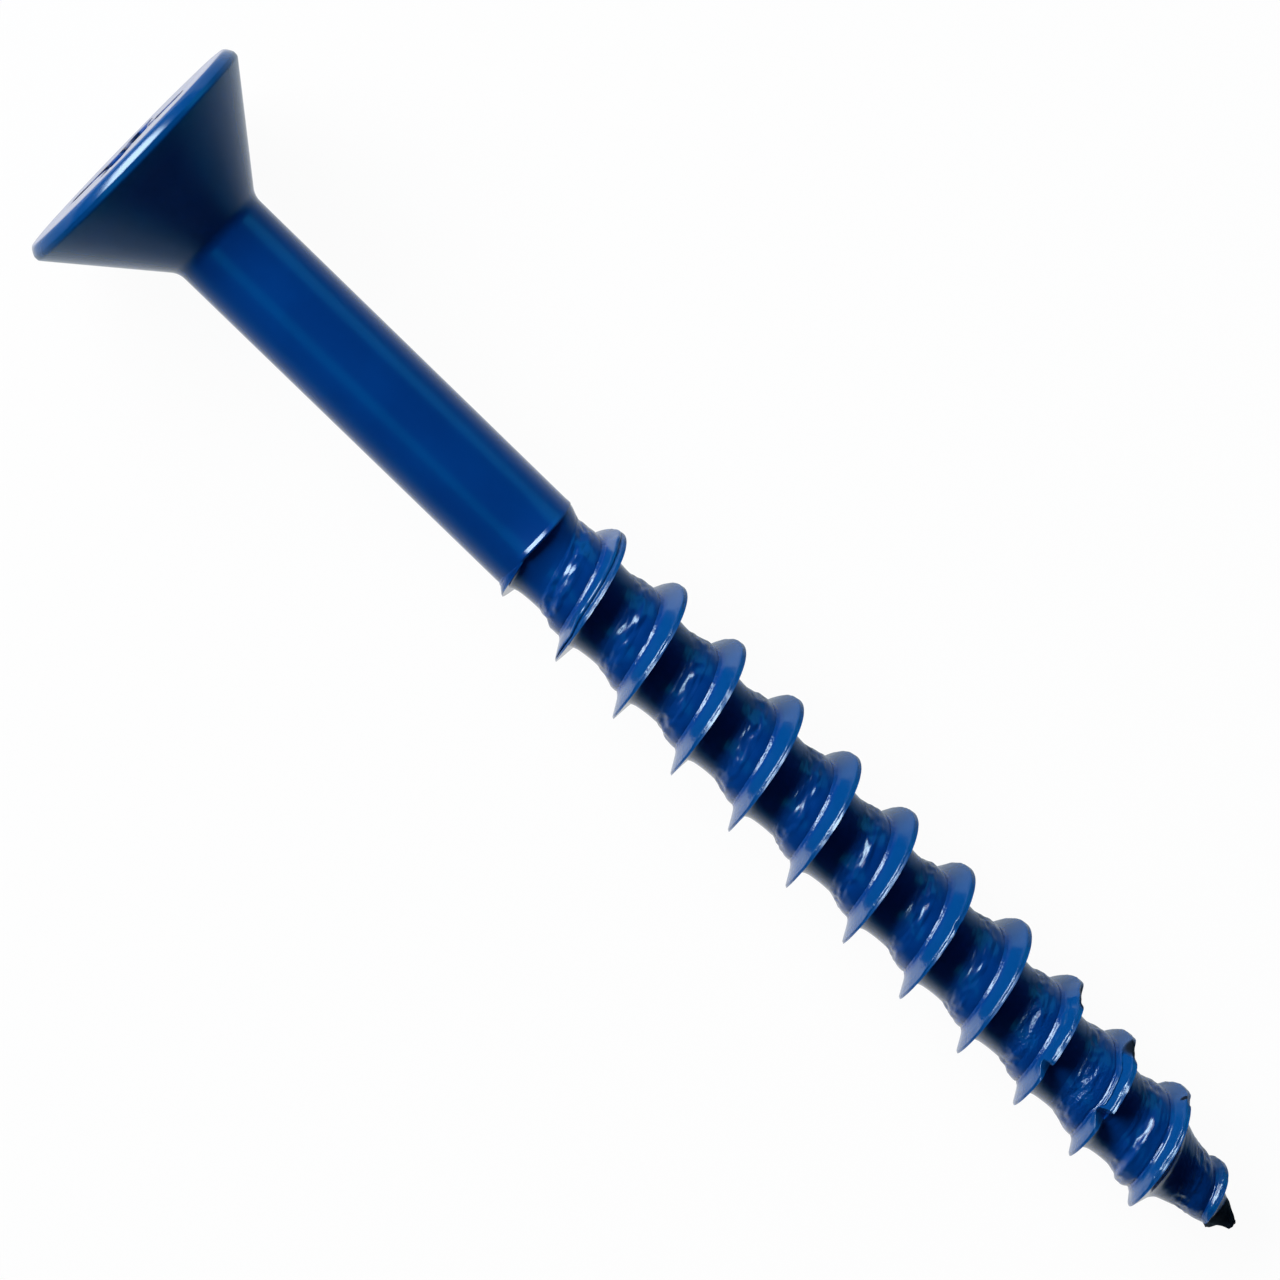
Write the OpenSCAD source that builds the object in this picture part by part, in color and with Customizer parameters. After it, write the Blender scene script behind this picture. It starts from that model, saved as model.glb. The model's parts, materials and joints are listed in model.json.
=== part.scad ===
// Concrete screw: countersunk head with a cross recess, plain shank and a coarse right-hand cutting thread.
// The screw is drawn upright along its own axis, from the top of the head to the point,
// and then laid on its side, where the rim of the head and one crest of the thread carry it.

/* [Head] */
// Length from the top of the head to the point
screw_l = 69.85; // [60:0.05:80]
// Diameter over the rim of the head
head_d = 12.5; // [11.5:0.1:13.5]
// Height of the rim
rim_h = 0.82; // [0.74:0.02:1.1]
// Radius of the upper edge of the rim
rim_top_r = 0.45; // [0.2:0.01:0.5]
// Radius of the lower edge of the rim
rim_low_r = 0.25; // [0.1:0.01:0.3]
// Full angle of the countersink under the head
countersink_angle = 78; // [76:1:90]
// Radius of the fillet from the countersink into the shank
neck_r = 1; // [0.4:0.1:2]

/* [Cross recess] */
// Distance across the wings at the top of the head
recess_d = 7.2; // [6:0.1:8]
// Width of one wing
wing_w = 1.4; // [1:0.1:1.8]
// Distance across the wings at the bottom of the recess
recess_floor_d = 3.2; // [2.6:0.1:4]
// Diameter of the round middle at the top of the head
recess_core_d = 3.4; // [2.6:0.1:4.4]
// Depth of the recess down to its bottom cone
recess_depth = 3.2; // [2.4:0.1:3.8]
// Height of the cone at the bottom of the recess
recess_point_h = 0.6; // [0.3:0.1:1]
// Turn of the cross about the axis of the screw
recess_turn = 20; // [0:5:90]

/* [Shank] */
// Diameter of the plain shank
shank_d = 4.74; // [4.6:0.02:5.2]
// Distance from the top of the head to the lip where the shank ends
shank_end = 24.7; // [20:0.1:30]
// Step from the shank down to the core at the lip
lip_step = 0.17; // [0.12:0.01:0.3]
// Length over which the core runs down to its full depth after the lip
run_out = 1.1; // [0.6:0.1:2]

/* [Thread] */
// Diameter over the crests of the full thread
crest_d = 6.46; // [6:0.02:7.2]
// Diameter of the core midway between two fins
root_d = 3.94; // [3.4:0.02:4.2]
// Height by which the core swells towards the foot of each fin
root_swell = 0.28; // [0.05:0.01:0.35]
// Distance between two crests
pitch = 3.66; // [3.2:0.02:4.2]
// Distance between two crests in the last turns before the point
tip_pitch = 3.52; // [3.2:0.02:4.2]
// Length of thread from the lip that keeps the full pitch
full_pitch_l = 31.2; // [20:0.2:34]
// Width of the flat land along the crest
land_w = 0.24; // [0.12:0.02:0.4]
// Slope of the flank that faces the head, from square to the axis
head_flank_angle = 27; // [20:1:40]
// Slope of the flank that faces the point, from square to the axis
point_flank_angle = 7; // [3:1:20]
// Run of the small fillet at the foot of each flank
foot_w = 0.1; // [0.06:0.01:0.2]
// Angle about the axis at which the fin rises from the lip
start_angle = 105; // [60:1:140]
// Share of a turn in which the fin gains about two thirds of its height
rise_turns = 0.33; // [0.2:0.01:0.6]

/* [Point] */
// Length of the tapered point of the core
point_l = 5.14; // [4:0.02:8]
// Length of the short nose at the end of the point
nose_l = 1.1; // [0.8:0.1:1.6]
// Diameter of the core where the nose begins
nose_d = 1.5; // [1:0.1:2]
// Diameter of the blunt end of the nose
tip_d = 0.4; // [0.3:0.05:0.8]
// Diameter over the crests where the taper of the point begins
point_crest_d = 5.76; // [5:0.02:6]
// Length before the point in which the crests run down to that diameter
crest_run_l = 12; // [6:0.5:16]
// How full the outline over the crests of the point is, where 1 is a straight cone
crest_bow = 1.5; // [1:0.1:2.2]

/* [Wear] */
// Turn of the thread, counted from the first full crest, at which the last nick cuts the fin
nick_turn = 9.29; // [4:0.01:10]
// Number of nicks, one in each of the turns up to the last one
nick_count = 2; // [1:1:4]
// Depth of a nick below the crest
nick_depth = 0.45; // [0.1:0.05:0.6]
// Half width of a nick in turns
nick_turns = 0.05; // [0.04:0.01:0.1]

/* [Hidden] */
$fn = 96;

head_r = head_d / 2;
shank_r = shank_d / 2;
crest_r = crest_d / 2;
root_r = root_d / 2;
tip_r = tip_d / 2;
nose_r = nose_d / 2;
point_crest_r = point_crest_d / 2;
half_land = land_w / 2;
cone_half = countersink_angle / 2;

// Segments of each rounded edge of the rim and of the neck fillet in the turned outline
arc_steps = 8;
// The cutters of the recess start this far above the top of the head
clear = 1;

// Columns of points round the axis, a multiple of four so that one column lies underneath
columns = 40;
// Turn of the thread at the lip, where turn 0 is the first crest at angle 0
start_turn = start_angle / 360 - 1;
// Turn at which the pitch shortens
pitch_turn = start_turn + full_pitch_l / pitch;
// The rows start two turns before the first crest, inside the shank
first_turn = -2;
point_z = screw_l - point_l;
nose_z = screw_l - nose_l;
last_turn = floor(pitch_turn + (screw_l - crest_z(pitch_turn)) / tip_pitch) + 1;
turn_count = last_turn - first_turn + 1;
// Rows of points for each turn: two feet, two edges of the land and three across the core
feet_rows = 4;
core_rows = 3;
turn_rows = feet_rows + core_rows;
row_count = turn_rows * turn_count;
column_size = row_count + 2;
// The rows draw together over this length at the very end
end_l = 1.25;

// Distance of the crest from the top of the head, as a function of the turn
function crest_z(n) = shank_end + pitch * (n - start_turn) - (pitch - tip_pitch) * max(0, n - pitch_turn);
// Draws the rows near the end together, so that none passes the blunt end
function drawn_in(z) =
    z < screw_l - end_l ? z : screw_l - end_l / (1 + (z - screw_l + end_l) / end_l);
function between(a, b, t) = a + (b - a) * min(1, max(0, t));
// Radius of the core midway between two fins
function core_r(z) =
    z < point_z ? between(shank_r - lip_step, root_r, (z - shank_end) / run_out) :
    z < nose_z ? between(root_r, nose_r, (z - point_z) / (nose_z - point_z)) :
    between(nose_r, tip_r, (z - nose_z) / nose_l);
// Radius of the fully risen crest
function full_crest_r(z) =
    z < point_z ? between(crest_r, point_crest_r, (z - point_z + crest_run_l) / crest_run_l) :
    between(point_crest_r, tip_r, pow((z - point_z) / point_l, crest_bow));
// Share of the fin's height that has risen at a turn
function risen(n) = n < start_turn ? 0 : 1 - exp(-(n - start_turn) / rise_turns);
// Depth that the nicks take off the crest at a turn
function nicked(n) =
    nick_depth * max([for (k = [0:nick_count - 1]) max(0, 1 - abs(n - nick_turn + k) / nick_turns)]);
function foot_r(n, z) = core_r(z) * (1 + risen(n) * root_swell / root_r);
function fin_r(n, z) = core_r(z) + risen(n) * (full_crest_r(z) - core_r(z));
// Height of the fin above its foot
function fin_h(n) =
    let (z = drawn_in(crest_z(n)))
    max(0, fin_r(n, z) - foot_r(n, z));
// Foot of the fin on the side of the head and on the side of the point
function head_foot_z(n) = crest_z(n) - half_land - foot_w - fin_h(n) * tan(head_flank_angle);
function point_foot_z(n) = crest_z(n) + half_land + foot_w + fin_h(n) * tan(point_flank_angle);

// Rows of one turn at turn n, each as its distance along the axis and its radius
function foot_row(n, z) = let (d = drawn_in(z)) [d, foot_r(n, d)];
function crest_row(n, side) =
    let (d = drawn_in(crest_z(n) + side * half_land))
    [d, max(foot_r(n, d), fin_r(n, d) - nicked(n))];
function core_row(n, t) =
    let (d = drawn_in(between(point_foot_z(n), head_foot_z(n + 1), t)))
    [d, between(core_r(d), foot_r(n, d), pow(2 * t - 1, 2))];
function turn_profile(n) = concat(
    [foot_row(n, head_foot_z(n)), crest_row(n, -1), crest_row(n, 1), foot_row(n, point_foot_z(n))],
    [for (i = [1:core_rows]) core_row(n, i / (core_rows + 1))]);

// One column of points: the inner end, every row of every turn, and the blunt end
inner_z = crest_z(first_turn) - pitch / 2;
function column_profile(share) = concat(
    [[inner_z, core_r(inner_z)]],
    [for (k = [first_turn:last_turn]) each turn_profile(k + share)],
    [[screw_l, tip_r]]);
function column_points(i) =
    let (angle = 360 * i / columns)
    [for (p = column_profile(i / columns)) [p[1] * cos(angle), p[1] * sin(angle), p[0]]];

function at(i, row) = i * column_size + row;
function quad(a, b, c, d) = [[a, c, b], [a, d, c]];
// The seam joins the last column to the first one, a full turn of rows further on
last_column = columns - 1;
seam_start = [
    [at(last_column, 1), at(0, 0), at(last_column, 0)],
    for (row = [0:turn_rows]) [at(last_column, 1), at(0, row + 1), at(0, row)]];
seam_rows = [
    for (row = [1:row_count - turn_rows - 1])
        each quad(at(last_column, row), at(0, row + turn_rows), at(0, row + turn_rows + 1), at(last_column, row + 1))];
seam_end = [
    for (row = [row_count - turn_rows:row_count]) [at(0, row_count), at(last_column, row), at(last_column, row + 1)],
    [at(0, row_count), at(last_column, row_count + 1), at(0, row_count + 1)]];
side_faces = [
    for (i = [0:last_column - 1])
        for (row = [0:column_size - 2])
            each quad(at(i, row), at(i + 1, row), at(i + 1, row + 1), at(i, row + 1))];
inner_face = [for (i = [0:last_column]) at(i, 0)];
tip_face = [for (i = [last_column:-1:0]) at(i, column_size - 1)];

// Outline of the head and shank: distance from the axis and from the top of the head
top_mid = head_r - rim_top_r;
low_mid = head_r - rim_low_r;
low_z = rim_h - rim_low_r;
cone_top = [low_mid + rim_low_r * cos(cone_half), low_z + rim_low_r * sin(cone_half)];
neck_z = cone_top[1] + (neck_r - (shank_r + neck_r - cone_top[0]) * cos(cone_half)) / sin(cone_half);
top_edge_arc = [
    for (i = [0:arc_steps])
        let (a = -90 + 90 * i / arc_steps)
        [top_mid + rim_top_r * cos(a), rim_top_r + rim_top_r * sin(a)]];
low_edge_arc = [
    for (i = [0:arc_steps])
        let (a = cone_half * i / arc_steps)
        [low_mid + rim_low_r * cos(a), low_z + rim_low_r * sin(a)]];
neck_arc = [
    for (i = [0:arc_steps])
        let (a = 180 + cone_half * (1 - i / arc_steps))
        [shank_r + neck_r + neck_r * cos(a), neck_z + neck_r * sin(a)]];

// Lying on its side: the crest underneath that meets the floor first sets the slope of the axis
under_turn = 0.75;
function slope_on(n) =
    let (
        rise = low_mid - fin_r(n, drawn_in(crest_z(n))) + nicked(n),
        run = drawn_in(crest_z(n)) + half_land - low_z)
    atan(rise / run) + asin(rim_low_r / norm([rise, run]));
lie_slope = min([for (k = [0:last_turn - 1]) slope_on(k + under_turn)]);
floor_drop = low_z * sin(lie_slope) + low_mid * cos(lie_slope) + rim_low_r;
back_x = rim_top_r * cos(lie_slope) - top_mid * sin(lie_slope) - rim_top_r;
front_x = screw_l * cos(lie_slope);

// The turned blank: head, countersink, neck and plain shank
module blank() {
    rotate_extrude()
        polygon(concat(
            [[0, 0]], top_edge_arc, low_edge_arc, neck_arc, [[shank_r, shank_end], [0, shank_end]]));
}

// The cross recess for the driver
module recess() {
    wall_slope = (recess_d - recess_floor_d) / 2 / recess_depth;
    core_slope = (recess_core_d - wing_w) / 2 / recess_depth;
    intersection() {
        union() {
            for (turn = [0, 90])
                rotate(recess_turn + turn)
                    translate([-recess_d, -wing_w / 2, -clear])
                        cube([2 * recess_d, wing_w, clear + recess_depth]);
        }
        translate([0, 0, -clear])
            cylinder(clear + recess_depth, recess_d / 2 + clear * wall_slope, recess_floor_d / 2);
    }
    translate([0, 0, -clear])
        cylinder(clear + recess_depth, recess_core_d / 2 + clear * core_slope, wing_w / 2);
    translate([0, 0, recess_depth])
        cylinder(recess_point_h, recess_floor_d / 2, 0);
}

// The core with its helical fin, running into the point
module thread() {
    polyhedron(
        [for (i = [0:last_column]) each column_points(i)],
        concat([inner_face, tip_face], side_faces, seam_start, seam_rows, seam_end));
}

module screw() {
    color("#0b4a8f")
        translate([-(back_x + front_x) / 2, 0, floor_drop])
            rotate([0, lie_slope, 0])
                rotate([90, 0, 90]) {
                    difference() {
                        blank();
                        recess();
                    }
                    thread();
                }
}

screw();
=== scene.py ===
"""Concrete screw with a glossy blue coating, lying on a plain pale floor and seen from above."""

import json
import math

import bmesh
import bpy
from mathutils import Matrix, Vector, noise


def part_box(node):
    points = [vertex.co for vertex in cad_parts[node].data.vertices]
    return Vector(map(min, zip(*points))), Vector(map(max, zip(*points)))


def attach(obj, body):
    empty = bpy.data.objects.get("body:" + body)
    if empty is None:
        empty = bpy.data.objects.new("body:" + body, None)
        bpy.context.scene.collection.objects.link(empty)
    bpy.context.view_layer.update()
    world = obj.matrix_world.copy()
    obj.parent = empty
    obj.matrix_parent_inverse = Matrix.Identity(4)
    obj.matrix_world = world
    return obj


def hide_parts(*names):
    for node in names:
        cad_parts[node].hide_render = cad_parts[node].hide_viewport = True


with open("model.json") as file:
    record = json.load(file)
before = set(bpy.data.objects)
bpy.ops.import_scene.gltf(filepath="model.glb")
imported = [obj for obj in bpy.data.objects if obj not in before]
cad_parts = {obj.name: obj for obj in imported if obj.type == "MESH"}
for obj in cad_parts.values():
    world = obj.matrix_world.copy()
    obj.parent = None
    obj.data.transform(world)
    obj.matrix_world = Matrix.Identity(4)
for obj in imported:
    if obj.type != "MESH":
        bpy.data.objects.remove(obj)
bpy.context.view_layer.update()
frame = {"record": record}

bl_info = {
    "name": "Concrete screw",
    "version": (1, 0, 0),
    "blender": (4, 5, 0),
    "location": "View3D > Sidebar > Screw",
    "description": "Builds a coated concrete screw and the stage that it lies on",
    "category": "Object",
}

NODE = "screw"
BODY = "root"
SLOT = "blue_coating"
MM = 0.001

MOUNTS = {mount["name"]: mount for mount in frame["record"]["mounts"]}
HEAD_TOP = Vector(MOUNTS["drive_recess"]["pos_m"])
AXIS = Vector(MOUNTS["thread"]["axis"]).normalized()
SIDE = Vector((0, 1, 0))
NEAR = AXIS.cross(SIDE).normalized()
LOW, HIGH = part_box(NODE)

# Mesh density
RING_STEPS = 96
TURN_STEPS = 108
ARC_STEPS = 8

# The helical skin begins before the lip and runs past the point: first turn and number of turns
FIRST_TURN = -1.5
TURNS = 14

# Distances in metres below which two points count as one, or a point as lying on a cut or an open rim
MERGE_GAP = 2e-7
CUT_GAP = 1e-8
RIM_GAP = 1e-7

# Damage along the crest: turn, turns before and after it, share of the nick and of the chip
MARKS = (
    (9.278, 0.016, 0.04, 0.46, 0.8),
    (8.292, 0.016, 0.028, 0.25, 0.65),
    (9.08, 0.06, 0.045, 0.0, 0.38),
    (8.075, 0.06, 0.045, 0.0, 0.5),
    (10.065, 0.025, 0.025, 0.0, 0.2),
    (6.2, 0.015, 0.015, 0.0, 0.15),
)

# Dark spots along the crest, given the colour, roughness and metal of the bare steel: turn, half length in
# turns, distance from the crest and half width in mm
SPOTS = (
    (9.072, 0.038, -0.06, 0.34),
    (8.07, 0.055, 0.05, 0.2),
    (10.063, 0.008, -0.2, 0.08),
)

# Wear along the thread: first and last turn, and the turns over which it runs out
SEAMED = (0.08, 0.4, 0.1)
DRAGGED = (10.9, 11.05, 0.4)
BURRED = ((10.2, 10.45, 0.15), (9.15, 9.245, 0.06))
WORN_BACK = (10.4, 10.7, 1.6)
LIFTED = (9.93, 10.03, 0.1)
BATTERED = ((8.12, 8.23, 0.05), (9.12, 9.23, 0.05))
SCUFFED = ((8.2, 8.32, 0.06), (9.2, 9.32, 0.06))
LEDGE_END = 0.06

# Sides of the screw in turns: first, last, and the turns over which they run out
BEAD_SIDE = (-0.79, -0.7, 0.09)
FILLED_SIDE = (0.4, 0.58, 0.14)
WORN_SIDE = (0.16, 0.55, 0.12)
SHARP_SIDE = (0.36, 0.6, 0.06)

# Bands in front of a crest in mm: first, last, and the run over which they end
LAND_BAND = (0.0, 0.16, 0.1)
FOOT_BAND = (0.5, 0.68, 0.1)
SCUFF_BAND = (1.0, 1.9, 0.3)
FOLD_BAND = (1.25, 1.8, 0.35)
WRINKLE_BAND = (1.4, 1.95, 0.35)

# Corners of one turn as shares of each stretch, from the root before the fin to the root after it
ROOT_BEFORE = (0.5, 0.58, 0.64, 0.68, 0.72, 0.78, 0.86)
RAMP = (0.1, 0.5, 0.9)
POINT_FLANK = (0.0, 0.1, 0.5, 0.85, 1.0)
ROOT_AFTER = (0.08, 0.2, 0.35, 0.5)

# The groove before the ramp: distance from it in mm and share of the depth
GROOVE = ((0.1, 0.2), (0.05, 1.0), (0.02, 0.6))

# The flank that faces the head and the land: share of the way and share of the depth of the split or seam
HEAD_FLANK = ((0.24, 0.0), (0.32, 0.2), (0.4, 1.0), (0.48, 0.0), (0.7, 0.0), (0.93, 0.0))
LAND = ((0.05, 0.0), (0.3, 0.1), (0.42, 0.9), (0.52, 1.0), (0.64, 0.1), (0.94, 0.0))

# Places in the noise from which the dashes of each edge are taken
LAND_DASHES = 0
GROOVE_DASHES = 40
RAMP_DASHES = 80
SEAM_DASHES = 120
FLANK_DASHES = 200

# Scales of the noise on the surface, per metre
NOSE_SCALE = 2200
CLOUD_SCALE = 300.0
PEEL_SCALE = 3500.0
FINE_PEEL_SCALE = 9000.0
GRAIN_SCALE = 7000.0
PIT_SCALE = 900.0
HAZE_SCALE = 700.0

# The patch of painted light on the floor before the head, seen only in reflections: where it begins and ends
# along the axis, and its width squared
FRONT_START = (0.0345, 0.0355)
FRONT_END = (0.06, 0.042)
FRONT_SIDE = (8e-5, 4e-5)

# Lamps: name, turn from the axis and rise in degrees, size in metres, glow and colour
LAMPS = (
    ("key", -4, 38, (0.8, 0.3), 14.0, (1, 1, 1)),
    ("left", -80, 60, (0.6, 0.36), 0.5, (0.0, 0.62, 1.0)),
    ("right", 80, 17, (0.6, 0.5), 0.75, (0.05, 0.62, 1.0)),
)
LAMP_DISTANCE = 0.6
LAMP_FADE = (0.55, 1.0)
ROOM_COLOUR = (0.003, 0.004, 0.006, 1)
FLOOR_HALF = 1.5
PICTURE_W = 1280


def length(name, about, default):
    """A size of the screw, in metres."""
    return bpy.props.FloatProperty(
        name=name, description=about, default=default, precision=5, unit="LENGTH"
    )


def share(name, about, default, **more):
    """A plain number."""
    return bpy.props.FloatProperty(name=name, description=about, default=default, precision=3, **more)


def angle(name, about, degrees):
    """An angle, kept in radians."""
    return bpy.props.FloatProperty(
        name=name, description=about, default=math.radians(degrees), unit="ROTATION"
    )


def colour(name, about, default):
    """A linear colour."""
    return bpy.props.FloatVectorProperty(
        name=name, description=about, default=default, size=3, min=0, max=1, subtype="COLOR"
    )


class ScrewSizes(bpy.types.PropertyGroup):
    """Sizes of the screw, close to those of its solid"""

    screw_l: length("Length", "From the top of the head to the point", 69.846 * MM)
    head_d: length("Head diameter", "Over the rim", HIGH.y - LOW.y - 0.02 * MM)
    rim_h: length("Rim height", "Height of the rim", 0.82 * MM)
    rim_top_r: length("Rim top edge", "Radius of the upper edge of the rim", 0.45 * MM)
    rim_low_r: length("Rim low edge", "Radius of the lower edge of the rim", 0.25 * MM)
    countersink: angle("Countersink", "Full angle of the cone under the head", 78)
    neck_r: length("Neck fillet", "Radius between the countersink and the shank", 1.0 * MM)
    recess_d: length("Recess span", "Across the wings at the top", 7.2 * MM)
    wing_w: length("Wing width", "Width of one wing of the cross", 1.4 * MM)
    recess_floor_d: length("Recess floor span", "Across the wings at the bottom", 3.2 * MM)
    recess_core_d: length("Recess core", "Diameter of the round middle at the top", 3.4 * MM)
    recess_depth: length("Recess depth", "Down to the bottom cone", 3.2 * MM)
    recess_point_h: length("Recess cone", "Height of the bottom cone", 0.6 * MM)
    recess_turn: angle("Recess turn", "Turn of the cross about the axis", 20)
    recess_edge_r: length("Recess edge", "Rounding of the mouth of the recess", 0.14 * MM)
    shank_d: length("Shank diameter", "Diameter of the plain shank", 4.74 * MM)
    shank_end: length("Shank end", "From the top of the head to the lip", 24.86 * MM)
    lip_step: length("Lip step", "From the shank down to the core", 0.17 * MM)
    lip_r: length("Lip rounding", "Rounding of the edge of the lip", 0.1 * MM)
    bead_h: length("Lip bead", "Height of the bead along the lip", 0.11 * MM)
    bead_w: length("Bead width", "Run of the bead up to the lip", 0.2 * MM)
    lip_turns: share("Lip turn", "Turns in which the lip runs along the rising fin", 0.3)
    run_out: length("Run-out", "Length over which the core runs down after the lip", 1.1 * MM)
    crest_d: length("Crest diameter", "Over the crests of the full thread", 6.452 * MM)
    root_d: length("Root diameter", "Core midway between two fins", 3.94 * MM)
    root_swell: length("Root swell", "Rise of the core towards the foot of a fin", 0.28 * MM)
    pitch: length("Pitch", "Between two crests", 3.66 * MM)
    tip_pitch: length("Tip pitch", "Between two crests in the last turns", 3.52 * MM)
    full_pitch_l: length("Full pitch length", "Thread from the lip that keeps the full pitch", 31.2 * MM)
    land_w: length("Land width", "Width of the land along the crest", 0.22 * MM)
    land_lean: angle("Land lean", "Slope of the land along the crest", 27)
    head_flank: angle("Head flank", "Slope of the flank that faces the head", 20.5)
    point_flank: angle("Point flank", "Slope of the flank that faces the point", -3)
    foot_w: length("Foot run", "Run of the foot of the flank that faces the head", 0.05 * MM)
    point_foot_w: length("Point foot run", "Run of the foot of the other flank", 0.03 * MM)
    ramp_w: length("Foot ramp", "Width of the ramp at the foot of the flank that faces the head", 0.095 * MM)
    ramp_lean: angle("Ramp lean", "Slope of that ramp", 29)
    start_angle: angle("Start angle", "Where the fin rises from the lip", 120.7)
    rise_turns: share("Rise", "Turns in which the fin gains two thirds of its height", 0.5)
    hook: share("Hook", "Share of the height that the fin gains at once", 0.42)
    hook_turns: share("Hook turns", "Turns in which it gains two thirds of that", 0.06)
    point_l: length("Point length", "Length of the tapered point", 5.14 * MM)
    nose_l: length("Nose length", "Length of the short nose at the end of the point", 1.1 * MM)
    nose_d: length("Nose diameter", "Diameter of the core where the nose begins", 1.5 * MM)
    tip_d: length("Tip diameter", "Diameter of the blunt end", 0.4 * MM)
    point_crest_d: length("Point crest", "Over the crests where the point begins", 5.744 * MM)
    crest_run_l: length("Crest run", "Length in which the crests run down to that", 12.0 * MM)
    crest_bow: share("Crest bow", "How full the outline over the crests of the point is", 1.5)


class ScrewWear(bpy.types.PropertyGroup):
    """Marks that rolling, coating and use have left"""

    nick_depth: length("Nick depth", "Depth of a nick below the crest", 0.9 * MM)
    chip_depth: length("Chip depth", "Depth of the chips behind the crest", 0.6 * MM)
    seam_depth: length("Seam depth", "Depth of the groove along an open crest", 0.1 * MM)
    seam_land_w: length("Seam land", "Width of the land where the crest is open", 0.46 * MM)
    foot_groove: length("Foot groove", "Depth of the groove at the foot of the fin", 0.035 * MM)
    ledge_from: share("Ledge start", "Turn at which the ledge in the last root begins", 10.17)
    ledge_to: share("Ledge end", "Turn at which that ledge ends", 10.85)
    chatter: length("Crest chatter", "Unevenness along the crests", 0.02 * MM)
    drag: length("Last fin drag", "How far the last fin is dragged towards the point", 0.33 * MM)
    burr: length("Burr", "How far the fin is pushed over beside the last nick", 0.15 * MM)
    split_depth: length("Split depth", "Depth of the split in the flank beside the last nick", 0.2 * MM)
    dent: length("Dents", "Depth of the dents along the edge of the crest", 0.03 * MM)
    fold: length("Folds", "Height of the folds in the roots", 0.075 * MM)
    ragged: angle("Ragged edges", "How far the land and the foot ramp swing along the fin", 8)
    batter: length("Batter", "Depth of the dents in the flank in front of the nicks", 0.07 * MM)
    shift: length("Fin shift", "How far the fins are pushed towards the point", 0.13 * MM)
    shift_turns: share("Shift turns", "Turns in which they are pushed that far", 0.8)
    worn_back: angle("Worn back", "How far the flank that faces the point is worn down near the end", 26)
    sharp: share("Sharp side", "Share of the land that is gone where the crest is worn sharp", 0.52)
    nose_rough: share("Nose", "Unevenness of the bare nose as a share of its radius", 0.08)
    bend: length("Bend", "How far the point stands off the axis", 0.2 * MM)
    bend_from: length("Bend start", "From the top of the head to where the bend begins", 35.0 * MM)


class CoatingLook(bpy.types.PropertyGroup):
    """Colours and gloss of the coating"""

    blue: colour("Blue", "Colour of the coating", (0.0, 0.046, 0.255))
    deep_blue: colour("Deep blue", "Colour where the coating lies thick", (0.0, 0.04, 0.23))
    # Painted highlight: a lighter, greener blue painted on the outer part of the fins and on the rim, where
    # the key lamp lights them brightest.
    painted_lit_blue: colour("Thin blue", "Colour where the coating lies thin", (0.0, 0.058, 0.24))
    dark_steel: colour("Dark steel", "Colour of the bare steel", (0.002, 0.005, 0.018))
    roughness: share("Roughness", "Roughness of the coating", 0.22, min=0, max=1)
    gloss: share("Gloss", "Roughness of the clear top coat", 0.12, min=0, max=1)
    haze: share("Haze", "How far the roughness swings over the coating", 0.08)
    coat: share("Top coat", "Weight of the clear top coat", 0.3, min=0, max=1)
    specular: share("Specular", "Strength of the reflections", 0.75, min=0, max=1)
    sheen: colour("Sheen", "Tint of the reflections", (0.6, 0.86, 1.0))
    bare_rough: share("Bare roughness", "Added roughness of the bare steel", 0.65)
    bare_metal: share("Bare metal", "How metallic the bare steel is", 0.6, min=0, max=1)
    matt: share("Matt reflections", "Added roughness of what is seen in a reflection", 0.8)
    peel: length("Orange peel", "Height of the dimples in the coating", 0.004 * MM)
    grain: length("Grain", "Height of the grain along the edges of the fin", 0.025 * MM)
    wrinkle: length("Wrinkles", "Height of the wrinkles in the roots", 0.13 * MM)
    pits: length("Pits", "Depth of the pits in the bare steel", 0.1 * MM)


class StageLook(bpy.types.PropertyGroup):
    """Camera, lights and floor"""

    view_distance: length("View distance", "From the camera to the screw", 243.07 * MM)
    view_depth: length("View centre", "Point of the axis at the middle of the picture", 31.396 * MM)
    view_shift: length("View offset", "Axis of the screw from the middle of the picture", 0.151 * MM)
    view_tilt: angle("View tilt", "Lean of the view towards the head", 9.23)
    view_roll: angle("View roll", "Turn of the axis in the picture", 44.12)
    view_focal: share("Focal length", "In pixels of a picture 1280 wide", 5465)
    floor_colour: colour("Floor colour", "Colour of the pale floor", (0.9, 0.9, 0.9))
    # Painted reflection: the far colour and the pool settings below give the floor, in reflections only, a
    # pool of painted light beside the screw and a painted dark blue far away.
    far_colour: colour("Far colour", "Colour that reflections have of the far floor", (0.0, 0.12, 0.2))
    floor_white: share("Floor white", "How far the floor is plain white to the camera", 0.96, min=0, max=1)
    pool_white: share("Pool white", "How far it is plain white in a reflection", 0.95, min=0, max=1)
    pool_light: share("Pool light", "Brightness of the mirrored floor beside the screw", 0.92, min=0, max=1)
    pool_w: length("Pool width", "Half width of the mirrored floor", 9.0 * MM)
    pool_spread: length("Pool spread", "Added half width far beyond the head", 200.0 * MM)
    pool_shift: length("Pool shift", "How far it lies to one side along the thread", 5.0 * MM)


def between(a, b, part):
    """The value a part of the way from a to b, kept between the two."""
    return a + (b - a) * min(1.0, max(0.0, part))


def ease(part):
    """A smooth step from 0 to 1."""
    part = min(1.0, max(0.0, part))
    return part * part * (3 - 2 * part)


def window(n, first, last, soft):
    """1 from first to last, running out smoothly on both sides."""
    return ease((n - first + soft) / soft) * ease((last + soft - n) / soft)


def windows(n, spans):
    """1 in each of several windows."""
    return sum(window(n, *span) for span in spans)


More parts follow.
